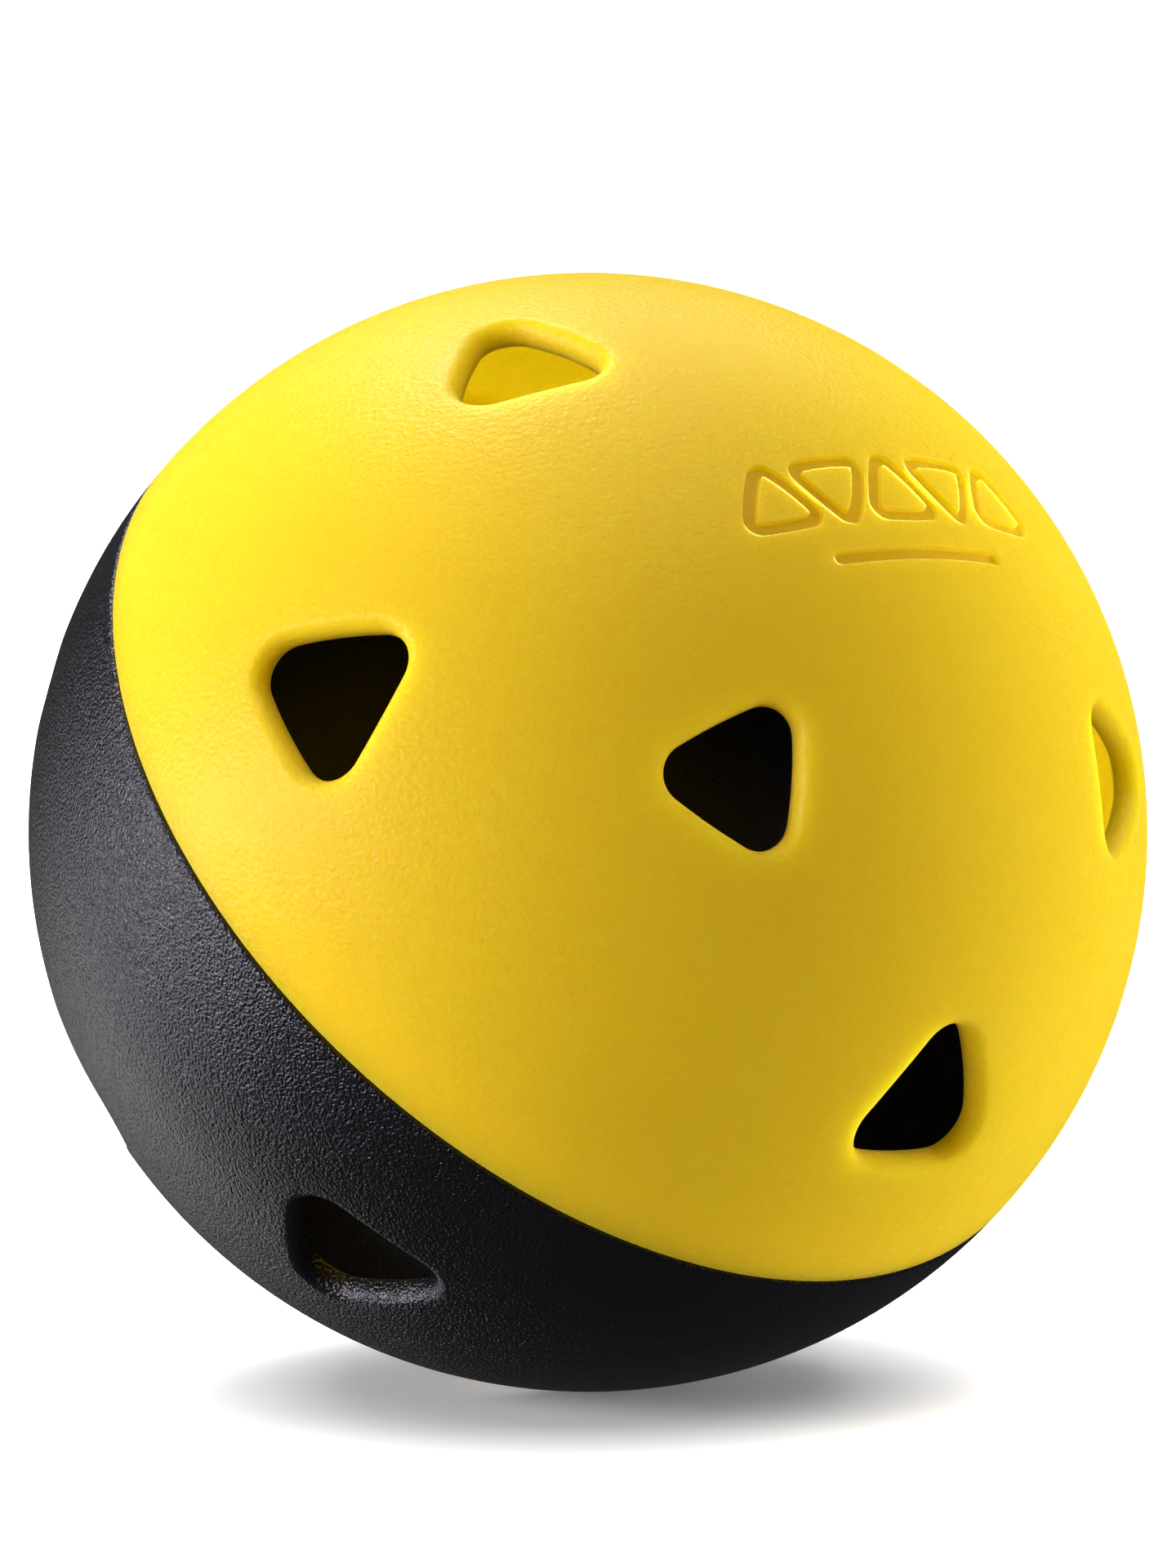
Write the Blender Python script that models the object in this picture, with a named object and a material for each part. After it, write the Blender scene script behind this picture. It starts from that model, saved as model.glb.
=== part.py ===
"""Hollow training ball moulded in two halves, with rounded-triangle holes.

The yellow half has a tongue around its rim, the black half has a groove that takes it, and a weld bead
in the bottom of the groove bonds the two. Each half has four holes in a ring near its pole and four in a
ring near the joint, set halfway between the others. The two halves are the same pattern, turned over
and twisted by 45 degrees.

Everything is modelled upright, with the yellow pole at +Z and the joint in the XY plane, and then laid
over to the way a loose ball comes to rest. The origin is the centre of the ball.
"""

from math import asin, atan2, cos, hypot, pi, radians, sin, sqrt, tau

import bmesh
import bpy
from mathutils import Matrix, Vector

MM = 0.001

# Driving dimensions of the shells.
BALL_RADIUS = 37.0 * MM
WALL = 1.8 * MM
RIM_WALL = 2.8 * MM
RIM_HEIGHT = 2.6 * MM
RIM_BLEND = 2.0 * MM
RIM_ROUNDING = 0.3 * MM

# The joint: a tongue on the yellow rim in a groove in the black rim, with the bead at its bottom.
JOINT_GAP = 0.2 * MM
FIT_GAP = 0.15 * MM
TONGUE_WIDTH = 0.8 * MM
TONGUE_HEIGHT = 1.1 * MM
BEAD_HEIGHT = 0.5 * MM
GROOVE_DEPTH = TONGUE_HEIGHT + BEAD_HEIGHT + 2 * FIT_GAP

# The holes: rounded triangles with one corner towards their own pole and sides that bow out a little.
# Sizes are those of the outer edge, measured square to the hole's own axis.
HOLES_PER_RING = 4
INNER_RING_ANGLE = radians(40.8)
OUTER_RING_ANGLE = radians(66.7)
HOLE_CORNER_REACH = 6.2 * MM
HOLE_CORNER_RADIUS = 2.5 * MM
HOLE_SIDE_BOW = 0.12 * MM
HOLE_BREADTH = 0.97
HALF_TWIST = radians(45.0)

# The holes of the ring near the joint are larger by this factor.
OUTER_RING_HOLE_SIZE = 1.11

# A hole narrows through the wall: (share of the wall's depth, share of the outer size).
HOLE_TAPER = ((0.0, 1.0), (0.12, 0.91), (0.4, 0.855), (1.0, 0.825))
CUTTER_OVERRUN = 1.0 * MM
CUTTER_FLARE = 1.06

# How the ball lies: the joint leans over, and both angles turn about +Z before and after the lean.
LEAN = radians(46.7)
HEADING = radians(-41.6)
SPIN = radians(-52.7)

# Facets.
TURNS = 60
OUTER_ARC_STEPS = 12
INNER_ARC_STEPS = 10
BLEND_STEPS = 3
SIDE_STEPS = 2
CORNER_STEPS = 5
MERGE = 1e-7

# Plastics: colour, roughness, metallic.
YELLOW_PLASTIC = ((0.95, 0.66, 0.02, 1.0), 0.42, 0.0)
BLACK_PLASTIC = ((0.018, 0.017, 0.02, 1.0), 0.45, 0.0)
WELD_PLASTIC = ((0.05, 0.045, 0.03, 1.0), 0.5, 0.0)


def clear_scene():
    for old in list(bpy.data.objects):
        bpy.data.objects.remove(old, do_unlink=True)


def plastic(name, finish):
    """A moulded plastic with its colour, roughness and metallic value on the shader itself."""
    colour, roughness, metallic = finish
    material = bpy.data.materials.new(name)
    material.use_nodes = True
    material.diffuse_color = colour
    shader = material.node_tree.nodes["Principled BSDF"]
    shader.inputs["Base Color"].default_value = colour
    shader.inputs["Roughness"].default_value = roughness
    shader.inputs["Metallic"].default_value = metallic
    return material


def new_object(name, mesh_builder, material=None, parent=None):
    """Turn a finished bmesh into a smooth-shaded object."""
    mesh = bpy.data.meshes.new(name)
    mesh_builder.to_mesh(mesh)
    mesh_builder.free()
    mesh.shade_smooth()
    mesh.set_sharp_from_angle(angle=radians(35.0))
    if material:
        mesh.materials.append(material)
    obj = bpy.data.objects.new(name, mesh)
    bpy.context.scene.collection.objects.link(obj)
    obj.parent = parent
    return obj


def lathe(section, closed):
    """Spin a section of (radius, height) points about Z, from its first point to its last."""
    builder = bmesh.new()
    points = [builder.verts.new((radius, 0.0, height)) for radius, height in section]
    edges = [builder.edges.new(pair) for pair in zip(points, points[1:])]
    if closed:
        edges.append(builder.edges.new((points[-1], points[0])))
    bmesh.ops.spin(
        builder,
        geom=points + edges,
        axis=(0.0, 0.0, 1.0),
        cent=(0.0, 0.0, 0.0),
        angle=tau,
        steps=TURNS,
        use_merge=True,
    )
    bmesh.ops.remove_doubles(builder, verts=builder.verts, dist=MERGE)
    bmesh.ops.recalc_face_normals(builder, faces=builder.faces)
    return builder


def arc(radius, start_height, end_height, steps):
    """Points along a circle about the centre, between two heights on it."""
    start = asin(start_height / radius)
    end = asin(end_height / radius)
    angles = [start + (end - start) * i / steps for i in range(steps + 1)]
    return [(radius * cos(a), radius * sin(a)) for a in angles]


def smooth_step(share):
    return share * share * (3.0 - 2.0 * share)


def thickened_inside(rim_face):
    """The inner face from the rim up to the pole: thick at the rim, blending into the plain wall."""
    rim_radius = BALL_RADIUS - RIM_WALL
    wall_radius = BALL_RADIUS - WALL
    points = [(rim_radius, rim_face)]
    for i in range(BLEND_STEPS + 1):
        share = i / BLEND_STEPS
        height = RIM_HEIGHT + RIM_BLEND * share
        sphere = rim_radius + (wall_radius - rim_radius) * smooth_step(share)
        points.append((sqrt(sphere**2 - height**2), height))
    return points + arc(wall_radius, RIM_HEIGHT + RIM_BLEND, wall_radius, INNER_ARC_STEPS)[1:]


def half_section(rim_profile):
    """A half shell's section, from the outer pole down to the rim, across it and back up inside."""
    rim_face = JOINT_GAP / 2
    outside = arc(BALL_RADIUS, BALL_RADIUS, rim_face + RIM_ROUNDING, OUTER_ARC_STEPS)
    return outside + rim_profile + thickened_inside(rim_face)


def tongue_radii():
    """Outer and inner radius of the tongue, centred in the thick rim."""
    middle = BALL_RADIUS - RIM_WALL / 2
    return middle + TONGUE_WIDTH / 2, middle - TONGUE_WIDTH / 2


def tongue_profile():
    """The yellow rim: a softened outer edge, then a tongue that reaches past the joint."""
    face = JOINT_GAP / 2
    outer, inner = tongue_radii()
    tip = -TONGUE_HEIGHT
    return [(BALL_RADIUS - RIM_ROUNDING, face), (outer, face), (outer, tip), (inner, tip), (inner, face)]


def groove_profile():
    """The black rim: the same softened edge, then a groove with clearance around the tongue."""
    face = JOINT_GAP / 2
    outer, inner = tongue_radii()
    outer += FIT_GAP
    inner -= FIT_GAP
    return [
        (BALL_RADIUS - RIM_ROUNDING, face),
        (outer, face),
        (outer, GROOVE_DEPTH),
        (inner, GROOVE_DEPTH),
        (inner, face),
    ]


def hole_outline(scale):
    """A rounded triangle as (along, across) points, with its first corner on the +along side."""
    corner_radius = HOLE_CORNER_RADIUS * scale
    reach = HOLE_CORNER_REACH * scale - corner_radius
    bow = HOLE_SIDE_BOW * scale
    half_side = reach * sqrt(3.0) / 2
    side_radius = (half_side**2 + bow**2) / (2 * bow)
    half_sweep = asin(half_side / side_radius)
    side_centre = side_radius - bow - reach / 2
    points = []
    for corner in range(3):
        turn = tau * corner / 3
        # The side from this corner to the next is an arc about a point on its far side.
        facing = turn + pi / 3
        centre = (-side_centre * cos(facing), -side_centre * sin(facing))
        for i in range(SIDE_STEPS + 1):
            angle = facing - half_sweep + 2 * half_sweep * i / SIDE_STEPS
            radius = side_radius + corner_radius
            points.append((centre[0] + radius * cos(angle), centre[1] + radius * sin(angle)))
        # The next corner is an arc between the directions of its two sides.
        next_corner = turn + tau / 3
        start = facing + half_sweep
        end = facing + tau / 3 - half_sweep
        for i in range(1, CORNER_STEPS):
            angle = start + (end - start) * i / CORNER_STEPS
            x = reach * cos(next_corner) + corner_radius * cos(angle)
            y = reach * sin(next_corner) + corner_radius * sin(angle)
            points.append((x, y))
    return [(x, y * HOLE_BREADTH) for x, y in points]


def holes():
    """(unit vector along it, size) of each hole of an upright half: a ring near the pole, then one
    near the rim."""
    rings = ((INNER_RING_ANGLE, 0.0, 1.0), (OUTER_RING_ANGLE, 0.5, OUTER_RING_HOLE_SIZE))
    for ring_angle, offset, size in rings:
        for i in range(HOLES_PER_RING):
            turn = tau * (i + offset) / HOLES_PER_RING
            direction = (sin(ring_angle) * cos(turn), sin(ring_angle) * sin(turn), cos(ring_angle))
            yield Vector(direction), size


def cutter_levels():
    """(sphere radius, hole scale) from outside the wall to inside it."""
    levels = [(BALL_RADIUS + CUTTER_OVERRUN, CUTTER_FLARE)]
    levels += [(BALL_RADIUS - WALL * depth, scale) for depth, scale in HOLE_TAPER]
    levels.append((BALL_RADIUS - WALL - CUTTER_OVERRUN, HOLE_TAPER[-1][1]))
    return levels


def add_hole_cutter(builder, direction, size):
    """One tapering plug: a loop on each of several concentric spheres, bridged and capped."""
    towards_pole = (Vector((0.0, 0.0, 1.0)) - direction.z * direction).normalized()
    across = direction.cross(towards_pole)
    loops = []
    for radius, scale in cutter_levels():
        loop = []
        for x, y in hole_outline(size * scale):
            height = sqrt(radius**2 - x**2 - y**2)
            loop.append(builder.verts.new(height * direction + x * towards_pole + y * across))
        loops.append(loop)
    count = len(loops[0])
    for upper, lower in zip(loops, loops[1:]):
        for i in range(count):
            j = (i + 1) % count
            builder.faces.new((upper[i], lower[i], lower[j], upper[j]))
    builder.faces.new(loops[0])
    builder.faces.new(reversed(loops[-1]))


def hole_cutters(name, parent):
    """All the plugs of one half as one hidden cutter."""
    builder = bmesh.new()
    for direction, size in holes():
        add_hole_cutter(builder, direction, size)
    bmesh.ops.recalc_face_normals(builder, faces=builder.faces)
    cutter = new_object(name, builder, parent=parent)
    cutter.hide_render = True
    cutter.display_type = "WIRE"
    return cutter


def half_shell(name, rim_profile, material, parent):
    """A pierced half shell, modelled with its pole at +Z of its parent."""
    shell = new_object(name, lathe(half_section(rim_profile), closed=False), material, parent)
    cut = shell.modifiers.new("holes", "BOOLEAN")
    cut.operation = "DIFFERENCE"
    cut.solver = "EXACT"
    cut.object = hole_cutters(name + "_holes", parent)
    return shell


def weld_bead(material, parent):
    """The ring of plastic between the tongue's tip and the bottom of the groove."""
    outer, inner = tongue_radii()
    top = -(TONGUE_HEIGHT + FIT_GAP)
    bottom = top - BEAD_HEIGHT
    corner = BEAD_HEIGHT / 4
    section = [
        (inner, top - corner),
        (inner + corner, top),
        (outer - corner, top),
        (outer, top - corner),
        (outer, bottom + corner),
        (outer - corner, bottom),
        (inner + corner, bottom),
        (inner, bottom + corner),
    ]
    return new_object("weld_bead", lathe(section, closed=True), material, parent)


def frame_empty(name, matrix, parent=None):
    empty = bpy.data.objects.new(name, None)
    bpy.context.scene.collection.objects.link(empty)
    empty.parent = parent
    empty.matrix_local = matrix
    return empty


def main():
    clear_scene()
    lie = frame_empty(
        "ball_lie",
        Matrix.Rotation(HEADING, 4, "Z") @ Matrix.Rotation(LEAN, 4, "Y") @ Matrix.Rotation(SPIN, 4, "Z"),
    )
    turned_over = frame_empty(
        "black_side",
        Matrix.Rotation(HALF_TWIST, 4, "Z") @ Matrix.Rotation(pi, 4, "X"),
        lie,
    )
    half_shell("yellow_half_shell", tongue_profile(), plastic("yellow_plastic", YELLOW_PLASTIC), lie)
    half_shell("black_half_shell", groove_profile(), plastic("black_plastic", BLACK_PLASTIC), turned_over)
    weld_bead(plastic("weld_plastic", WELD_PLASTIC), lie)


main()
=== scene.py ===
from math import acos, asin, atan2, cos, hypot, pi, radians, sin, sqrt, tan, tau

import bmesh
import bpy
import numpy as np
from mathutils import Matrix, Vector
from mathutils.geometry import delaunay_2d_cdt


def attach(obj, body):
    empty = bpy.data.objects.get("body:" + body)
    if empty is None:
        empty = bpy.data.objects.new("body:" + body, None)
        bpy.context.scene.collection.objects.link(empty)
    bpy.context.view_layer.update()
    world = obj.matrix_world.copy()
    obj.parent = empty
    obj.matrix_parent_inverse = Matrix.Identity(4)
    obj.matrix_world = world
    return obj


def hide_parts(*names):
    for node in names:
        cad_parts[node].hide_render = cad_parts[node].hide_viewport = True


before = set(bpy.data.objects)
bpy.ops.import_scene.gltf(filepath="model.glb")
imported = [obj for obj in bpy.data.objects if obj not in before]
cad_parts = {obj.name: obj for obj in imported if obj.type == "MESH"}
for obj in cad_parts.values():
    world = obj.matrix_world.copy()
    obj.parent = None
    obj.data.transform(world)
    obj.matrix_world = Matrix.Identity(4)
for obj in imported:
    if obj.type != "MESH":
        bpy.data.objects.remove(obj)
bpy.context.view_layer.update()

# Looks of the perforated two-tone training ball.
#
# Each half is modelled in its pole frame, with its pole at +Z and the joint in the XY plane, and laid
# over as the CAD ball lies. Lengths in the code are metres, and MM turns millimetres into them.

MM = 0.001

# The shells. The radius is the CAD ball's own.
BALL_RADIUS = max(v.co.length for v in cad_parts["yellow_half_shell"].data.vertices)
WALL = 1.8 * MM
RIM_WALL = 2.8 * MM
RIM_HEIGHT = 2.6 * MM
RIM_BLEND = 2.0 * MM

# The joint.
SEAM_GAP = 0.14 * MM
SEAM_ROUNDING = 0.3 * MM
FIT_GAP = 0.15 * MM
TONGUE_WIDTH = 0.8 * MM
TONGUE_HEIGHT = 1.1 * MM
BEAD_HEIGHT = 0.5 * MM
GROOVE_DEPTH = TONGUE_HEIGHT + BEAD_HEIGHT + 2 * FIT_GAP
TONGUE_MIDDLE = BALL_RADIUS - RIM_WALL / 2

# The holes: rounded triangles, one corner towards their own pole. Sizes are those of the narrow end,
# from which the wall drafts outwards into a wide rounding.
HOLES_PER_RING = 4
INNER_RING_ANGLE = radians(40.8)
OUTER_RING_ANGLE = radians(66.7)
OUTER_RING_HOLE_SIZE = 1.11
HOLE_REACH = 5.1 * MM
HOLE_CORNER_RADIUS = 2.0 * MM
HOLE_SIDE_BOW = 0.11 * MM
HOLE_BREADTH = 0.97
HOLE_DRAFT = radians(3.0)
LIP_WIDTH = 1.05 * MM
LIP_DEPTH = 1.45 * MM
INNER_EDGE_ROUNDING = 0.12 * MM

# What lies deeper than this below the outer face has the finish of the inside.
INNER_DEPTH = 1.5 * MM

# How the ball lies, and how far the black half is turned about the pole against the yellow one.
LEAN = radians(46.7)
HEADING = radians(-41.6)
SPIN = radians(-52.7)
HALF_TWIST = radians(45.0)

# Mesh density.
RIM_POINTS = 288
OUTER_SPACING = 0.9 * MM
INNER_SPACING = 1.6 * MM
LIP_STEPS = 10
INNER_EDGE_STEPS = 3
SIDE_STEPS = 14
CORNER_STEPS = 16
SHARP_ANGLE = radians(38.0)
# Points of a ring stay this many spacings away from a hole, and finer loops grade the mesh between:
# (spacings from the hole, every how many points of its outline).
HOLE_CLEARANCE = 1.5
GRADING_LOOPS = ((0.45, 1), (1.0, 2))
# A point whose direction has a smaller cosine than this with a hole's axis is well clear of the hole.
HOLE_COSINE = 0.9
# Closer to the pole than this counts as the pole, and flat points this close count as one.
AT_POLE = 1e-12
SAME_POINT = 1e-9


def face_outwards(mesh):
    """Turns every face of a closed mesh outwards."""
    shape = bmesh.new()
    shape.from_mesh(mesh)
    bmesh.ops.recalc_face_normals(shape, faces=shape.faces)
    shape.to_mesh(mesh)
    shape.free()


class Surface:
    """Points and faces of one closed skin, gathered piece by piece."""

    def __init__(self):
        self.points = []
        self.faces = []

    def add(self, points):
        first = len(self.points)
        self.points.extend(points)
        return list(range(first, len(self.points)))

    def bridge(self, upper, lower):
        """Quads between two closed loops of equal length."""
        for i, j in zip(range(len(upper)), [*range(1, len(upper)), 0]):
            self.faces.append((upper[i], lower[i], lower[j], upper[j]))

    def build(self, name, matrix, material, inner_material=None):
        """The finished piece; its faces below INNER_DEPTH take the inner material."""
        mesh = bpy.data.meshes.new(name)
        mesh.from_pydata(self.points, [], self.faces)
        face_outwards(mesh)
        mesh.transform(matrix)
        mesh.shade_smooth()
        mesh.set_sharp_from_angle(angle=SHARP_ANGLE)
        mesh.materials.append(material)
        if inner_material:
            mesh.materials.append(inner_material)
            limit = BALL_RADIUS - INNER_DEPTH
            for face in mesh.polygons:
                deep = all(mesh.vertices[i].co.length < limit for i in face.vertices)
                face.material_index = 1 if deep else 0
        piece = bpy.data.objects.new(name, mesh)
        bpy.context.scene.collection.objects.link(piece)
        return piece


# ---------------------------------------------------------------------------------------------------
# Flat maps. A point of a sphere about the centre, seen from the pole, is laid flat at a distance from
# the pole that equals its angle from the pole.


def flatten(point):
    angle = acos(max(-1.0, min(1.0, point.z / point.length)))
    across = hypot(point.x, point.y)
    if across < AT_POLE:
        return Vector((0.0, 0.0))
    return Vector((point.x, point.y)) * (angle / across)


def on_sphere(flat, radius):
    angle = flat.length
    if angle < AT_POLE:
        return Vector((0.0, 0.0, radius))
    side = sin(angle) / angle
    return Vector((flat.x * side, flat.y * side, cos(angle))) * radius


def ring_points(radius, limit_angle, spacing):
    """Evenly spaced points in rings about the pole, every second ring turned by half a step."""
    points = [Vector((0.0, 0.0))]
    rings = round(limit_angle * radius / spacing)
    for ring in range(1, rings):
        angle = limit_angle * ring / rings
        count = max(6, round(tau * sin(angle) * radius / spacing))
        for i in range(count):
            turn = tau * (i + 0.5 * (ring % 2)) / count
            points.append(Vector((cos(turn), sin(turn))) * angle)
    return points


def triangulate(surface, loops, fill, radius, keep):
    """Faces between loops that the surface already has and new points, laid flat.

    keep tells whether a triangle with that flat centre belongs to the surface.
    """
    indices = [i for loop in loops for i in loop]
    flats = [flatten(surface.points[i]) for i in indices]
    edges = []
    first = 0
    for loop in loops:
        count = len(loop)
        edges += [(first + i, first + (i + 1) % count) for i in range(count)]
        first += count
    indices += surface.add([on_sphere(flat, radius) for flat in fill])
    flats += fill
    places, _, triangles, origins, _, _ = delaunay_2d_cdt(flats, edges, [], 0, SAME_POINT)
    for triangle in triangles:
        centre = sum((places[i] for i in triangle), Vector((0.0, 0.0))) / 3
        if keep(centre):
            surface.faces.append(tuple(indices[origins[i][0]] for i in triangle))


# ---------------------------------------------------------------------------------------------------
# Holes.


def rounded_triangle(reach, corner_radius, bow, grow):
    """A closed outline as (along, across) points, with one corner on the +along side.

    grow moves the whole outline outwards, square to itself.
    """
    centre_reach = reach - corner_radius
    half_side = centre_reach * sqrt(3.0) / 2
    side_radius = (half_side**2 + bow**2) / (2 * bow)
    half_sweep = asin(half_side / side_radius)
    side_centre = side_radius - bow - centre_reach / 2
    side_edge = side_radius + corner_radius + grow
    corner_edge = corner_radius + grow
    points = []
    for corner in range(3):
        facing = tau * corner / 3 + pi / 3
        for i in range(SIDE_STEPS + 1):
            angle = facing - half_sweep + 2 * half_sweep * i / SIDE_STEPS
            x = -side_centre * cos(facing) + side_edge * cos(angle)
            y = -side_centre * sin(facing) + side_edge * sin(angle)
            points.append((x, y))
        turn = facing + pi / 3
        start = facing + half_sweep
        end = facing + tau / 3 - half_sweep
        for i in range(1, CORNER_STEPS):
            angle = start + (end - start) * i / CORNER_STEPS
            x = centre_reach * cos(turn) + corner_edge * cos(angle)
            y = centre_reach * sin(turn) + corner_edge * sin(angle)
            points.append((x, y))
    return points


def hole_frames():
    """(axis, towards the pole, across, size) of each hole of an upright half."""
    rings = ((INNER_RING_ANGLE, 0.0, 1.0), (OUTER_RING_ANGLE, 0.5, OUTER_RING_HOLE_SIZE))
    for ring_angle, offset, size in rings:
        for i in range(HOLES_PER_RING):
            turn = tau * (i + offset) / HOLES_PER_RING
            axis = Vector((sin(ring_angle) * cos(turn), sin(ring_angle) * sin(turn), cos(ring_angle)))
            along = (Vector((0.0, 0.0, 1.0)) - axis.z * axis).normalized()
            yield axis, along, axis.cross(along), size


def hole_outline(size, grow):
    """The hole as (along, across) points square to its axis."""
    outline = rounded_triangle(HOLE_REACH * size, HOLE_CORNER_RADIUS * size, HOLE_SIDE_BOW, grow)
    return [(x, y * HOLE_BREADTH) for x, y in outline]


def hole_profile():
    """(grow, depth) from the lip's outer boundary, over its oval rounding, to the wall's inner edge."""
    foot = (WALL - LIP_DEPTH) * tan(HOLE_DRAFT)
    profile = []
    for i in range(LIP_STEPS + 1):
        angle = pi / 2 * i / LIP_STEPS
        profile.append((foot + LIP_WIDTH * (1 - sin(angle)), LIP_DEPTH * (1 - cos(angle))))
    for i in range(INNER_EDGE_STEPS + 1):
        angle = pi / 2 * i / INNER_EDGE_STEPS
        grow = INNER_EDGE_ROUNDING * (1 - cos(angle))
        profile.append((grow, WALL - INNER_EDGE_ROUNDING * (1 - sin(angle))))
    return profile


def hole_loop(frame_of_hole, grow, depth):
    """The hole's outline, grown and laid on the sphere at that depth below the outer face."""
    axis, along, across, size = frame_of_hole
    radius = BALL_RADIUS - depth
    points = []
    for x, y in hole_outline(size, grow):
        height = sqrt(radius**2 - x**2 - y**2)
        points.append(axis * height + along * x + across * y)
    return points


class HoleTest:
    """Tells whether a flat point of a sphere of that radius lies inside the hole's grown outline."""

    def __init__(self, frame_of_hole, grow):
        self.axis, self.along, self.across, size = frame_of_hole
        outline = np.array(hole_outline(size, grow))
        turns = np.arctan2(outline[:, 1], outline[:, 0])
        order = np.argsort(turns)
        self.turns = turns[order]
        self.reach = np.hypot(outline[:, 0], outline[:, 1])[order]

    def __call__(self, flat, radius):
        point = on_sphere(flat, radius)
        if point.dot(self.axis) < HOLE_COSINE * radius:
            return False
        x, y = point.dot(self.along), point.dot(self.across)
        limit = np.interp(atan2(y, x), self.turns, self.reach, period=tau)
        return hypot(x, y) < limit


def cut_holes(surface):
    """The walls of all holes; returns each one's outer and inner loop."""
    profile = hole_profile()
    outer, inner = [], []
    for frame_of_hole in hole_frames():
        loops = [surface.add(hole_loop(frame_of_hole, grow, depth)) for grow, depth in profile]
        for upper, lower in zip(loops, loops[1:]):
            surface.bridge(lower, upper)
        outer.append(loops[0])
        inner.append(loops[-1])
    return outer, inner


def skin(surface, border, hole_loops, radius, spacing, grow, emblem=None):
    """One spherical face of the shell, from its border circle to the pole, around the holes."""
    frames = list(hole_frames())
    limit_angle = flatten(surface.points[border[0]]).length
    inside = [HoleTest(f, grow) for f in frames]
    near = [HoleTest(f, grow + HOLE_CLEARANCE * spacing) for f in frames]
    fill = []
    for flat in ring_points(radius, limit_angle, spacing):
        if any(test(flat, radius) for test in near):
            continue
        if emblem and emblem.covers(flat):
            continue
        fill.append(flat)
    for f in frames:
        for step, stride in GRADING_LOOPS:
            loop = hole_loop(f, grow + step * spacing, BALL_RADIUS - radius)
            fill += [flatten(point) for point in loop[::stride]]
    loops = [border, *hole_loops]
    if emblem:
        loops += emblem.add_loops(surface)

    def keep(centre):
        return not any(test(centre, radius) for test in inside)

    triangulate(surface, loops, fill, radius, keep)


# ---------------------------------------------------------------------------------------------------
# The debossed emblem at the yellow pole: a row of hollow triangles and a bar below it.

EMBLEM_TURN = radians(135.0)
EMBLEM_DEPTH = 0.4 * MM
EMBLEM_WALL = 0.12 * MM
EMBLEM_MARGIN = 0.6 * MM
TRIANGLES = 5
TRIANGLE_REACH = 3.25 * MM
TRIANGLE_CORNER = 1.2 * MM
TRIANGLE_BOW = 0.08 * MM
TRIANGLE_STROKE = 1.05 * MM
TRIANGLE_PITCH = 4.93 * MM
ROW_START = -10.57 * MM
ROW_FOOT = -3.2 * MM
BAR_ENDS = (-7.8 * MM, 6.1 * MM)
BAR_HEIGHT = -5.6 * MM
BAR_RADIUS = 0.5 * MM
BAR_STEPS = 24
BAR_SPACING = 0.25 * MM


class Emblem:
    """Closed outlines in the emblem's own plane, x along its row and y up, each with its depth."""

    def __init__(self):
        self.outlines = []
        for i in range(TRIANGLES):
            self.add_triangle(i)
        self.add_bar()
        every = np.array([point for outline, _ in self.outlines for point in outline])
        self.low = every.min(0) - EMBLEM_MARGIN
        self.high = every.max(0) + EMBLEM_MARGIN
        self.right = Vector((cos(EMBLEM_TURN), sin(EMBLEM_TURN)))
        self.up = Vector((-sin(EMBLEM_TURN), cos(EMBLEM_TURN)))

    def add_triangle(self, i):
        """A hollow triangle, every second one upside down, all standing on one line."""
        upright = i % 2 == 0
        foot = (TRIANGLE_REACH - TRIANGLE_CORNER) / 2 + TRIANGLE_CORNER + TRIANGLE_BOW
        x0 = ROW_START + i * TRIANGLE_PITCH
        y0 = ROW_FOOT + (foot if upright else TRIANGLE_REACH)
        sign = 1 if upright else -1
        edges = (
            (0.0, 0.0),
            (-EMBLEM_WALL, EMBLEM_DEPTH),
            (EMBLEM_WALL - TRIANGLE_STROKE, EMBLEM_DEPTH),
            (-TRIANGLE_STROKE, 0.0),
        )
        for grow, depth in edges:
            outline = rounded_triangle(TRIANGLE_REACH, TRIANGLE_CORNER, TRIANGLE_BOW, grow)
            self.outlines.append(([(x0 - sign * y, y0 + sign * x) for x, y in outline], depth))

    def add_bar(self):
        """A bar with round ends, under the row."""
        for inset, depth in ((0.0, 0.0), (EMBLEM_WALL, EMBLEM_DEPTH)):
            radius = BAR_RADIUS - inset
            outline = []
            for end, start in ((BAR_ENDS[1], -pi / 2), (BAR_ENDS[0], pi / 2)):
                for i in range(BAR_STEPS // 2 + 1):
                    angle = start + tau * i / BAR_STEPS
                    outline.append((end + radius * cos(angle), BAR_HEIGHT + radius * sin(angle)))
            self.outlines.append((even_steps(outline, BAR_SPACING), depth))

    def covers(self, flat):
        """Whether a flat point lies in the emblem's box, which the rings of points leave free."""
        place = np.array((flat.dot(self.right), flat.dot(self.up))) * BALL_RADIUS
        return bool((place > self.low).all() and (place < self.high).all())

    def add_loops(self, surface):
        loops = []
        for outline, depth in self.outlines:
            flats = [(self.right * x + self.up * y) / BALL_RADIUS for x, y in outline]
            loops.append(surface.add([on_sphere(flat, BALL_RADIUS - depth) for flat in flats]))
        return loops


def even_steps(outline, spacing):
    """The same closed outline with points added along its long stretches."""
    points = []
    for (x0, y0), (x1, y1) in zip(outline, outline[1:] + outline[:1]):
        pieces = max(1, round(hypot(x1 - x0, y1 - y0) / spacing))
        for i in range(pieces):
            points.append((x0 + (x1 - x0) * i / pieces, y0 + (y1 - y0) * i / pieces))
    return points


# ---------------------------------------------------------------------------------------------------
# Shells.

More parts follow.
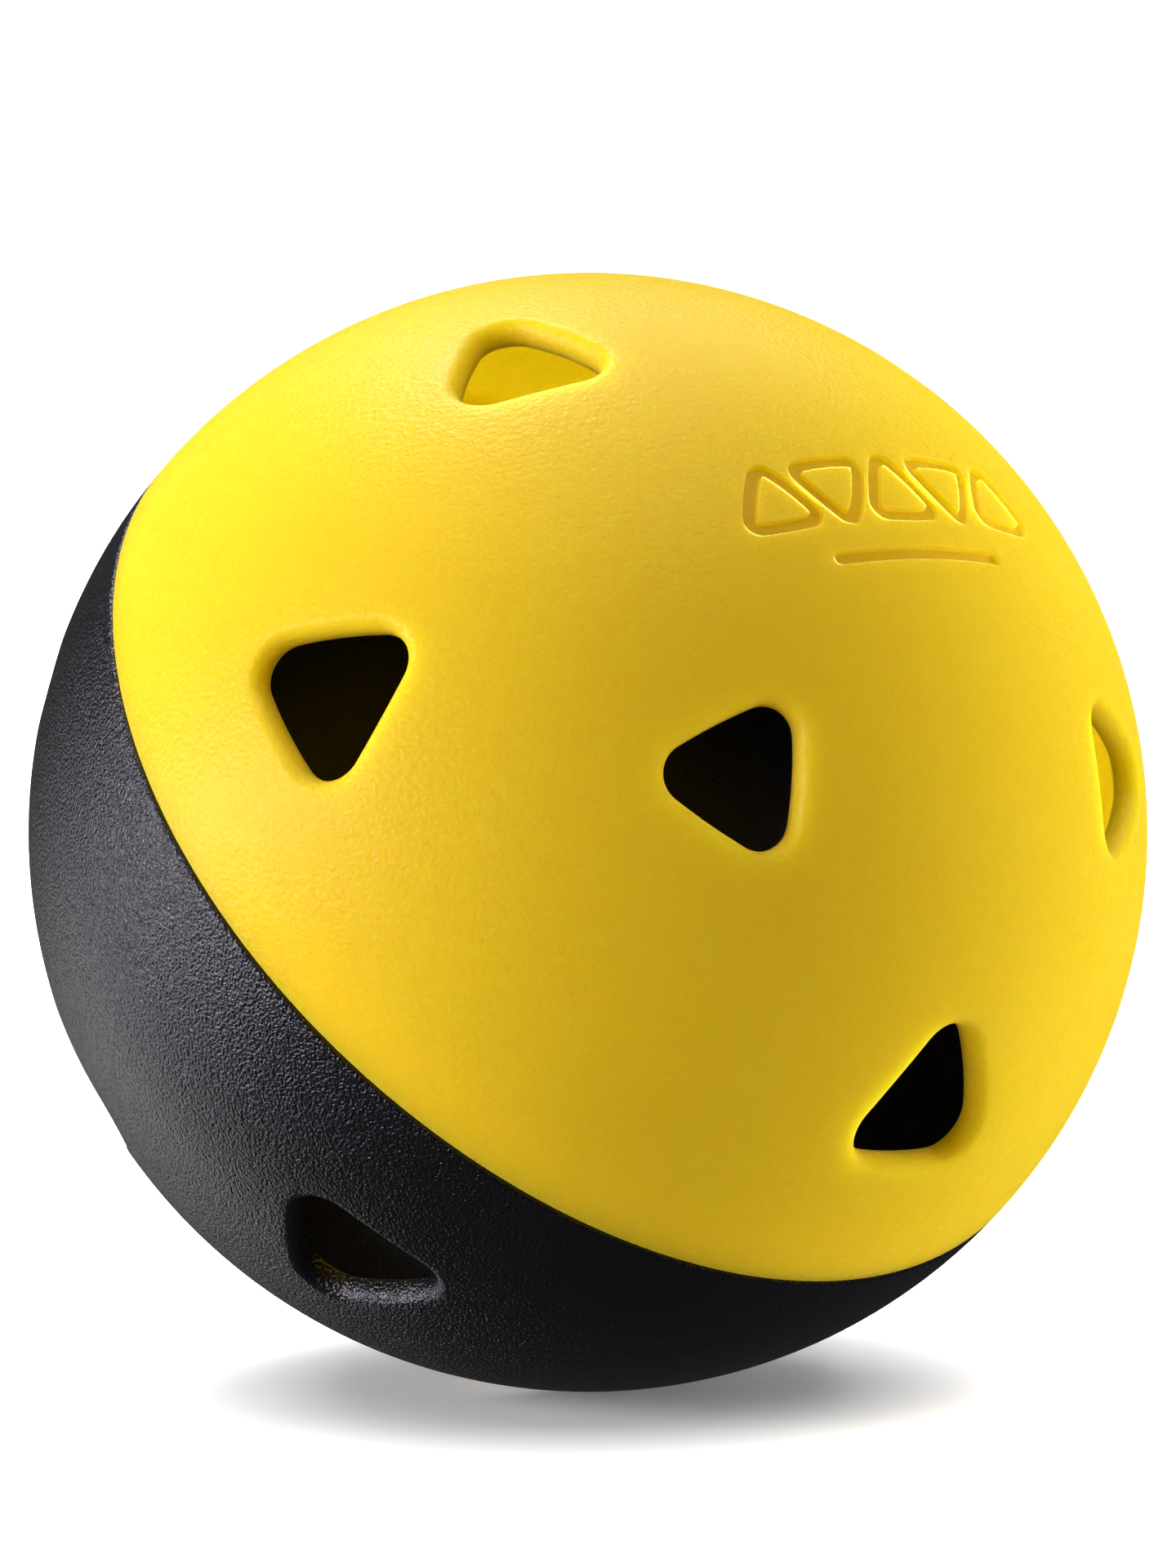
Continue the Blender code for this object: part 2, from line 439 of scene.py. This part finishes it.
# The height above the joint at which the outer skin's border lies.
OUTER_BORDER = 2.0 * MM
SEAM_FACE = SEAM_GAP / 2
ROUNDING_STEPS = 6
SKIRT_STEPS = 4
BLEND_STEPS = 8
JOINT_CHAMFER = 0.08 * MM


def lathe_loops(surface, profile):
    """One loop about Z for each (radius, height), bridged in order."""
    loops = []
    for radius, height in profile:
        turns = [tau * i / RIM_POINTS for i in range(RIM_POINTS)]
        loops.append(surface.add([Vector((radius * cos(t), radius * sin(t), height)) for t in turns]))
    for upper, lower in zip(loops, loops[1:]):
        surface.bridge(upper, lower)
    return loops


def smooth_step(share):
    return share * share * (3.0 - 2.0 * share)


def rounded_edge(radius, inward):
    """The seam's edge of a face of that sphere radius; inward is 1 outside the wall and -1 inside."""
    points = []
    for i in range(ROUNDING_STEPS + 1):
        angle = pi / 2 * i / ROUNDING_STEPS
        height = SEAM_FACE + SEAM_ROUNDING * (1 - sin(angle))
        step_in = SEAM_ROUNDING * (1 - cos(angle))
        points.append((sqrt(radius**2 - height**2) - inward * step_in, height))
    return points


def outside_skirt():
    """Down the outer face from the border of the skin, and around the seam's edge."""
    last = SEAM_FACE + SEAM_ROUNDING
    heights = [OUTER_BORDER + (last - OUTER_BORDER) * i / SKIRT_STEPS for i in range(SKIRT_STEPS)]
    return [(sqrt(BALL_RADIUS**2 - z**2), z) for z in heights] + rounded_edge(BALL_RADIUS, 1)


def inside_skirt():
    """Up the thick rim from its edge, and blending into the plain wall."""
    rim_radius = BALL_RADIUS - RIM_WALL
    wall_radius = BALL_RADIUS - WALL
    points = rounded_edge(rim_radius, -1)[::-1]
    first = SEAM_FACE + SEAM_ROUNDING
    for i in range(1, SKIRT_STEPS):
        height = first + (RIM_HEIGHT - first) * i / SKIRT_STEPS
        points.append((sqrt(rim_radius**2 - height**2), height))
    for i in range(BLEND_STEPS + 1):
        share = i / BLEND_STEPS
        height = RIM_HEIGHT + RIM_BLEND * share
        sphere = rim_radius + (wall_radius - rim_radius) * smooth_step(share)
        points.append((sqrt(sphere**2 - height**2), height))
    return points


def tongue():
    """From the seam's outer edge to its inner one, down around the yellow half's tongue."""
    outer, inner = TONGUE_MIDDLE + TONGUE_WIDTH / 2, TONGUE_MIDDLE - TONGUE_WIDTH / 2
    tip = -TONGUE_HEIGHT
    return [
        (outer, SEAM_FACE),
        (outer, tip + JOINT_CHAMFER),
        (outer - JOINT_CHAMFER, tip),
        (inner + JOINT_CHAMFER, tip),
        (inner, tip + JOINT_CHAMFER),
        (inner, SEAM_FACE),
    ]


def groove():
    """From the seam's outer edge to its inner one, up around the black half's groove."""
    outer = TONGUE_MIDDLE + TONGUE_WIDTH / 2 + FIT_GAP
    inner = TONGUE_MIDDLE - TONGUE_WIDTH / 2 - FIT_GAP
    return [
        (outer + JOINT_CHAMFER, SEAM_FACE),
        (outer, SEAM_FACE + JOINT_CHAMFER),
        (outer, GROOVE_DEPTH),
        (inner, GROOVE_DEPTH),
        (inner, SEAM_FACE + JOINT_CHAMFER),
        (inner - JOINT_CHAMFER, SEAM_FACE),
    ]


def half_shell(name, joint_profile, matrix, materials, emblem=None):
    """A closed half: two skins, the hole walls between them, and the rim."""
    surface = Surface()
    outer_loops, inner_loops = cut_holes(surface)
    rim = lathe_loops(surface, outside_skirt() + joint_profile + inside_skirt())
    profile = hole_profile()
    skin(surface, rim[0], outer_loops, BALL_RADIUS, OUTER_SPACING, profile[0][0], emblem)
    skin(surface, rim[-1], inner_loops, BALL_RADIUS - WALL, INNER_SPACING, profile[-1][0])
    piece = surface.build(name, matrix, *materials)
    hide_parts(name.replace("_skin", ""))
    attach(piece, "root")


BEAD_POINTS = 12
# The bead's section fills this share of its room, more or less by each (waves around, share).
BEAD_FILL = 0.92
BEAD_WAVES = ((7, 0.035), (19, 0.025), (31, 0.02))
# 1 makes the section an oval, and less makes it squarer.
BEAD_SQUARENESS = 0.6


def squarish(value):
    """A cosine or sine with its sign kept and its size flattened."""
    return np.sign(value) * abs(value) ** BEAD_SQUARENESS


def weld_bead(matrix, material):
    """The ring of re-melted plastic in the groove: a flattened bead that swells and thins a little."""
    surface = Surface()
    middle = -(TONGUE_HEIGHT + FIT_GAP + BEAD_HEIGHT / 2)
    sections = []
    for i in range(RIM_POINTS):
        turn = tau * i / RIM_POINTS
        swell = BEAD_FILL + sum(size * sin(waves * turn + waves) for waves, size in BEAD_WAVES)
        section = []
        for j in range(BEAD_POINTS):
            angle = tau * j / BEAD_POINTS
            across = squarish(cos(angle)) * TONGUE_WIDTH / 2 * swell
            height = squarish(sin(angle)) * BEAD_HEIGHT / 2 * swell
            radius = TONGUE_MIDDLE + across
            section.append(Vector((radius * cos(turn), radius * sin(turn), middle + height)))
        sections.append(surface.add(section))
    for upper, lower in zip(sections, sections[1:] + sections[:1]):
        surface.bridge(upper, lower)
    piece = surface.build("weld_bead_ring", matrix, material)
    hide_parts("weld_bead")
    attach(piece, "root")


# ---------------------------------------------------------------------------------------------------
# Materials. A plastic's colour drifts between its two clouds, and its roughness between two values.

YELLOW = (0.95, 0.525, 0.018)
YELLOW_CLOUDS = ((0.93, 0.51, 0.015), (0.97, 0.54, 0.021))
YELLOW_ROUGHNESS = (0.28, 0.44)
YELLOW_GLOSS = 0.09
BLACK = (0.004, 0.0038, 0.005)
BLACK_CLOUDS = ((0.003, 0.0028, 0.0038), (0.005, 0.0048, 0.0062))
BLACK_ROUGHNESS = (0.24, 0.36)
BLACK_TINT = (0.9, 0.85, 1.0, 1.0)
WELD = (0.09, 0.07, 0.015)
WELD_SWIRLS = ((0.02, 0.019, 0.02), (0.3, 0.19, 0.01))
WELD_SWIRL_PITCH = 1.5 * MM
WELD_BUMP_PITCH = 0.6 * MM
WELD_BUMP = 0.05 * MM

# The finish that the mould leaves: how wide its clouds, its waves, its changes of sheen and its grains
# are, and how high its waves and grains stand.
CLOUD_PITCH = 9 * MM
WAVE_PITCH = 6 * MM
WAVE_HEIGHT = 0.05 * MM
SHEEN_PITCH = 1.2 * MM
YELLOW_GRAIN_PITCH = 0.4 * MM
YELLOW_GRAIN = 0.09 * MM
BLACK_GRAIN_PITCH = 0.22 * MM

FLOOR_WHITE = (0.9, 0.9, 0.9)
FLOOR_GLOW = 0.1


def new_material(name, colour, roughness):
    """A material and its shader, with a plain colour and roughness that nodes may take over."""
    material = bpy.data.materials.new(name)
    material.use_nodes = True
    material.diffuse_color = (*colour, 1.0)
    shader = material.node_tree.nodes["Principled BSDF"]
    shader.inputs["Base Color"].default_value = (*colour, 1.0)
    shader.inputs["Roughness"].default_value = roughness
    return material, shader


def noise(tree, place, pitch, detail=2.0):
    """Noise whose grains are about pitch wide, in metres."""
    node = tree.nodes.new("ShaderNodeTexNoise")
    node.inputs["Scale"].default_value = 1.0 / pitch
    node.inputs["Detail"].default_value = detail
    tree.links.new(place, node.inputs["Vector"])
    return node.outputs["Fac"]


def mixed_colour(tree, share, low, high):
    node = tree.nodes.new("ShaderNodeMix")
    node.data_type = "RGBA"
    node.inputs["A"].default_value = (*low, 1.0)
    node.inputs["B"].default_value = (*high, 1.0)
    tree.links.new(share, node.inputs["Factor"])
    return node.outputs["Result"]


def mapped(tree, value, low, high):
    """A value from 0 to 1, brought to the range from low to high."""
    node = tree.nodes.new("ShaderNodeMapRange")
    node.inputs["To Min"].default_value = low
    node.inputs["To Max"].default_value = high
    tree.links.new(value, node.inputs["Value"])
    return node.outputs["Result"]


def bumps(tree, layers):
    """Stacked bumps: (height, distance) from the coarsest to the finest."""
    normal = None
    for height, distance in layers:
        node = tree.nodes.new("ShaderNodeBump")
        node.inputs["Distance"].default_value = distance
        tree.links.new(height, node.inputs["Height"])
        if normal:
            tree.links.new(normal, node.inputs["Normal"])
        normal = node.outputs["Normal"]
    return normal


def mould_finish(material, shader, clouds, roughness, grain_pitch, grain):
    """Clouds in the colour, a changing sheen, faint waves and a fine grain."""
    tree = material.node_tree
    place = tree.nodes.new("ShaderNodeTexCoord").outputs["Object"]
    colour = mixed_colour(tree, noise(tree, place, CLOUD_PITCH), *clouds)
    sheen = mapped(tree, noise(tree, place, SHEEN_PITCH), *roughness)
    layers = (
        (noise(tree, place, WAVE_PITCH), WAVE_HEIGHT),
        (noise(tree, place, grain_pitch, detail=1.0), grain),
    )
    tree.links.new(colour, shader.inputs["Base Color"])
    tree.links.new(sheen, shader.inputs["Roughness"])
    tree.links.new(bumps(tree, layers), shader.inputs["Normal"])


def yellow_plastic(name, light_reach, reach_scale):
    """light_reach is how far light of each colour goes in the plastic, in units of reach_scale."""
    material, shader = new_material(name, YELLOW, roughness=0.36)
    shader.inputs["Specular IOR Level"].default_value = YELLOW_GLOSS
    shader.inputs["Subsurface Weight"].default_value = 1.0
    shader.inputs["Subsurface Radius"].default_value = light_reach
    shader.inputs["Subsurface Scale"].default_value = reach_scale
    mould_finish(material, shader, YELLOW_CLOUDS, YELLOW_ROUGHNESS, YELLOW_GRAIN_PITCH, YELLOW_GRAIN)
    return material


def black_plastic(name, gloss, grain):
    material, shader = new_material(name, BLACK, roughness=0.35)
    shader.inputs["Specular IOR Level"].default_value = gloss
    shader.inputs["Specular Tint"].default_value = BLACK_TINT
    mould_finish(material, shader, BLACK_CLOUDS, BLACK_ROUGHNESS, BLACK_GRAIN_PITCH, grain)
    return material


def weld_plastic():
    """Both plastics, melted together in swirls."""
    material, shader = new_material("weld_plastic", WELD, roughness=0.35)
    tree = material.node_tree
    place = tree.nodes.new("ShaderNodeTexCoord").outputs["Object"]
    colour = mixed_colour(tree, noise(tree, place, WELD_SWIRL_PITCH, detail=3.0), *WELD_SWIRLS)
    layers = ((noise(tree, place, WELD_BUMP_PITCH), WELD_BUMP),)
    tree.links.new(colour, shader.inputs["Base Color"])
    tree.links.new(bumps(tree, layers), shader.inputs["Normal"])
    return material


def floor_material():
    material, shader = new_material("floor_paper", FLOOR_WHITE, roughness=0.9)
    shader.inputs["Specular IOR Level"].default_value = 0.0
    shader.inputs["Emission Color"].default_value = (1.0, 1.0, 1.0, 1.0)
    shader.inputs["Emission Strength"].default_value = FLOOR_GLOW
    return material


# ---------------------------------------------------------------------------------------------------
# Floor, lights and camera.

FLOOR_SIZE = 8.0
WORLD_LIGHT = 0.04
CAMERA_ELEVATION = radians(8.0)
CAMERA_DISTANCE = 22.0 * BALL_RADIUS
CAMERA_SIGHT = 20.0
# In millimetres, as Blender has it.
SENSOR_HEIGHT = 36.0
# The ball fills BALL_SHARE of the frame's height, and sits BALL_DROP of it below the middle.
BALL_SHARE = 0.714
BALL_DROP = 0.0307


def make_floor(height):
    half = FLOOR_SIZE / 2
    corners = [(-half, -half, height), (half, -half, height), (half, half, height), (-half, half, height)]
    mesh = bpy.data.meshes.new("floor")
    mesh.from_pydata(corners, [], [(0, 1, 2, 3)])
    mesh.materials.append(floor_material())
    floor = bpy.data.objects.new("floor", mesh)
    bpy.context.scene.collection.objects.link(floor)
    # The floor takes the ball's shadow, and neither lights the ball nor holds light off it.
    floor.visible_diffuse = False
    floor.visible_glossy = False
    floor.visible_shadow = False
    return floor


def direction(azimuth, elevation):
    """Unit vector from the ball; azimuth 0 is towards the camera and 90 to its right."""
    a, e = radians(azimuth), radians(elevation)
    return Vector((sin(a) * cos(e), -cos(a) * cos(e), sin(e)))


def softbox(name, azimuth, elevation, distance, width, height, power, gloss=True):
    """A lamp that faces the ball, its angles in degrees, its lengths in metres and its power in watts.

    Without gloss it leaves no highlight.
    """
    lamp = bpy.data.lights.new(name, "AREA")
    lamp.shape = "RECTANGLE"
    lamp.size = width
    lamp.size_y = height
    lamp.energy = power
    box = bpy.data.objects.new(name, lamp)
    away = direction(azimuth, elevation)
    box.location = away * distance
    box.rotation_euler = away.to_track_quat("Z", "Y").to_euler()
    box.visible_glossy = gloss
    bpy.context.scene.collection.objects.link(box)
    return box


def make_lights(floor):
    # Placed and powered until the ball's bright and dark parts matched the photo's.
    softbox("left_highlight", -84, 4, 0.9, 0.25, 0.25, 3.8)
    softbox("front_left_softbox", -60, 12, 0.9, 0.5, 0.5, 7.8)
    softbox("low_left_softbox", -112, -10, 0.9, 0.5, 0.5, 1.4)
    softbox("low_back_left_softbox", -138, -28, 0.9, 0.5, 0.5, 0.9)
    softbox("low_right_softbox", 100, -10, 0.9, 0.8, 0.6, 11.0, gloss=False)
    softbox("right_softbox", 105, 25, 0.9, 1.0, 0.8, 3.7, gloss=False)
    softbox("low_front_softbox", -10, -50, 0.9, 0.5, 0.5, 2.7, gloss=False)
    softbox("top_softbox", 0, 90, 1.3, 1.2, 1.2, 9.0)
    softbox("top_back_softbox", 180, 50, 1.2, 1.0, 1.0, 5.6)
    softbox("top_highlight", -157, 59, 1.2, 0.3, 0.3, 5.6)
    # A broad ceiling lights the floor alone, so that only a soft shadow is left under the ball.
    ceiling = softbox("ceiling", 0, 90, 1.5, 3.0, 3.0, 110.0)
    lit = bpy.data.collections.new("lit_by_ceiling")
    lit.objects.link(floor)
    ceiling.light_linking.receiver_collection = lit
    world = bpy.data.worlds.new("studio")
    world.use_nodes = True
    background = world.node_tree.nodes["Background"]
    background.inputs["Color"].default_value = (1.0, 1.0, 1.0, 1.0)
    background.inputs["Strength"].default_value = WORLD_LIGHT
    bpy.context.scene.world = world


def make_camera():
    data = bpy.data.cameras.new("camera")
    data.sensor_fit = "VERTICAL"
    data.sensor_height = SENSOR_HEIGHT
    # The silhouette of a ball at this distance stands at this slope from the line of sight.
    slope = tan(asin(BALL_RADIUS / CAMERA_DISTANCE))
    data.lens = SENSOR_HEIGHT * BALL_SHARE / (2 * slope)
    data.shift_y = BALL_DROP
    data.clip_end = CAMERA_SIGHT
    camera = bpy.data.objects.new("camera", data)
    away = Vector((0.0, -cos(CAMERA_ELEVATION), sin(CAMERA_ELEVATION)))
    camera.location = away * CAMERA_DISTANCE
    camera.rotation_euler = away.to_track_quat("Z", "Y").to_euler()
    bpy.context.scene.collection.objects.link(camera)
    bpy.context.scene.camera = camera


def main():
    # The black half is turned upside down, twisted about the pole and then laid as the yellow one.
    lie = Matrix.Rotation(HEADING, 4, "Z") @ Matrix.Rotation(LEAN, 4, "Y") @ Matrix.Rotation(SPIN, 4, "Z")
    turned_over = lie @ Matrix.Rotation(HALF_TWIST, 4, "Z") @ Matrix.Rotation(pi, 4, "X")
    # Each half has an outside and an inside finish. Light reaches further in the yellow inside, which
    # makes the walls seen through the holes glow, and the black inside is smooth and dull.
    yellow = (
        yellow_plastic("yellow_plastic", (0.75, 1.0, 0.2), 7.0 * MM),
        yellow_plastic("yellow_plastic_inside", (1.0, 0.7, 0.3), 18.0 * MM),
    )
    black = (
        black_plastic("black_plastic", 0.5, 0.17 * MM),
        black_plastic("black_plastic_inside", 0.15, 0.02 * MM),
    )
    half_shell("yellow_half_shell_skin", tongue(), lie, yellow, Emblem())
    half_shell("black_half_shell_skin", groove(), turned_over, black)
    weld_bead(lie, weld_plastic())
    make_lights(make_floor(-BALL_RADIUS))
    make_camera()
    bpy.context.scene.view_settings.view_transform = "Standard"


main()
